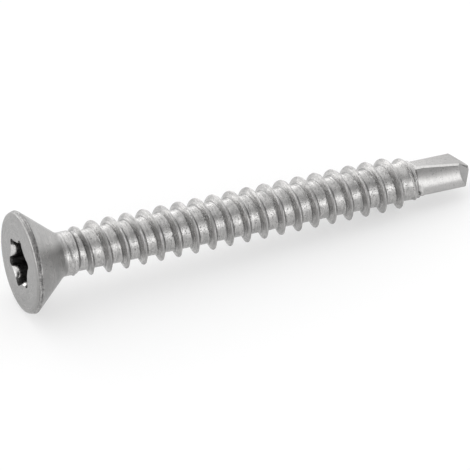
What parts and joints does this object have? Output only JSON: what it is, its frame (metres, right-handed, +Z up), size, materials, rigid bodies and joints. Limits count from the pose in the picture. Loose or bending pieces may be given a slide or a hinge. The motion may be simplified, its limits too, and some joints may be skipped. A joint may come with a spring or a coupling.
{
  "type": "self drilling screw",
  "caption": "Stainless self drilling screw with a flat countersunk head, a six-lobe drive recess, a single-start thread and a fluted drill point, lying on its side.",
  "frame": {"origin": "middle of the underside of the screw's box, on the table under it", "axes": "+X along the screw towards the drill point, +Z up from the table, +Y across; the axis falls 3.7 degrees towards the point because the screw lies on its head rim and its last full thread crest"},
  "size_m": [0.037, 0.0078, 0.0078],
  "materials": {
    "steel": "satin stainless steel, lightly mottled between the threads"
  },
  "bodies": {
    "root": {"screw": "steel"}
  },
  "joints": []
}
